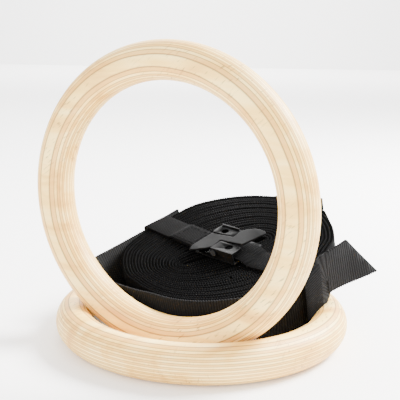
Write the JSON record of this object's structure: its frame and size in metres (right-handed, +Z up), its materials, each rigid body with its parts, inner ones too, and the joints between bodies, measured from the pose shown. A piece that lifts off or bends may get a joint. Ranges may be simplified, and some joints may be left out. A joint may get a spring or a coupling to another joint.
{
  "type": "gymnastics rings",
  "caption": "Wooden gymnastics rings: one lies flat, the other stands inside it, with the rolled black straps and their metal cam buckles resting behind.",
  "frame": {"origin": "on the floor, under the middle of the lying ring", "axes": "+Z up; +X to the right and +Y away from the side the rings are seen from"},
  "size_m": [0.2742, 0.2558, 0.2363],
  "materials": {
    "ring_wood": "sanded bare birch plywood",
    "webbing": "black woven nylon webbing",
    "thread": "black bonded nylon thread",
    "buckle_steel": "black electro-coated steel, semi-matt",
    "pin_steel": "black oxide steel"
  },
  "bodies": {
    "lying_ring": {"lying_ring": "ring_wood"},
    "standing_ring": {"standing_ring": "ring_wood"},
    "strap_roll": {"inner_roll": "webbing", "outer_roll": "webbing", "loose_turn": "webbing", "front_turn": "webbing", "free_tail": "webbing", "belt_top": "webbing", "belt_back": "webbing", "belt_front": "webbing", "belt_band": "webbing", "belt_loop": "webbing", "belt_stitching": "thread", "buckle_a_frame": "buckle_steel", "buckle_a_pin": "pin_steel", "buckle_a_spring": "pin_steel", "second_strap": "webbing", "second_loop": "webbing", "second_stitching": "thread", "buckle_b_frame": "buckle_steel", "buckle_b_pin": "pin_steel", "buckle_b_spring": "pin_steel"},
    "lever_a": {"buckle_a_lever": "buckle_steel"},
    "lever_b": {"buckle_b_lever": "buckle_steel"}
  },
  "joints": [
    {"name": "standing_ring_lift", "type": "slide", "parent": "lying_ring", "child": "standing_ring", "axis": [-0.142, -0.264, 0.954], "range_m": [0, 0.25]},
    {"name": "strap_roll_lift", "type": "slide", "parent": "lying_ring", "child": "strap_roll", "axis": [0.142, 0.264, 0.954], "range_m": [0, 0.25]},
    {"name": "lever_a_press", "type": "hinge", "parent": "strap_roll", "child": "lever_a", "pos_m": [0.0208, 0.01724, 0.0703], "axis": [0.6815, 0.6723, 0.289], "range_deg": [0, 18], "stiffness_Nm_per_rad": 0.4, "springref_deg": -20.05},
    {"name": "lever_b_press", "type": "hinge", "parent": "strap_roll", "child": "lever_b", "pos_m": [0.09501, 0.10882, 0.0782], "axis": [0.1712, 0.2375, -0.9562], "range_deg": [0, 18], "stiffness_Nm_per_rad": 0.4, "springref_deg": -20.05}
  ]
}
